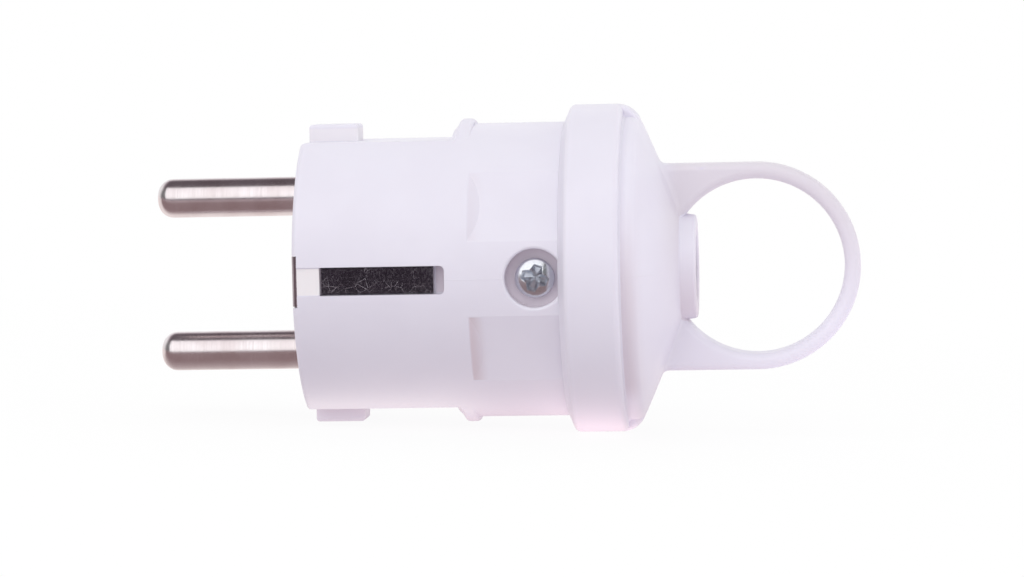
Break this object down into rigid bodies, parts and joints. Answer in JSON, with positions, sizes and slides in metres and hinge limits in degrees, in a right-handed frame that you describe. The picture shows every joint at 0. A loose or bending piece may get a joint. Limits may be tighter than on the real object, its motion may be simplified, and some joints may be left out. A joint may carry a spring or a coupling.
{
  "type": "electrical plug",
  "caption": "Rewireable earthed mains plug with round contact pins, side earth contacts in slots and a domed rear cover that carries the cord outlet and a finger pull ring.",
  "frame": {"origin": "middle of the engagement face, halfway between the pins", "axes": "+X along the plug from the pins to the pull ring, +Z from pin to pin, Y from one side earth contact to the other"},
  "size_m": [0.0865, 0.0402, 0.0402],
  "materials": {
    "white_moulding": "satin white moulding, faint cool tint",
    "pin_nickel": "nickel plated, polished",
    "earth_metal": "dull nickel plate, scratched lengthwise",
    "screw_zinc": "bright zinc plate",
    "terminal_brass": "plain turned brass",
    "holder_moulding": "plain grey moulding"
  },
  "bodies": {
    "root": {"front_body": "white_moulding", "rear_cover": "white_moulding", "live_pin": "pin_nickel", "neutral_pin": "pin_nickel", "earth_strap": "earth_metal", "earth_screw": "screw_zinc", "earth_terminal": "terminal_brass", "terminal_screws": "screw_zinc", "clamp_washers": "screw_zinc", "contact_holder": "holder_moulding", "holder_screws": "screw_zinc", "cord_clamp": "holder_moulding", "clamp_screws": "screw_zinc", "cover_screws": "screw_zinc"}
  },
  "joints": []
}
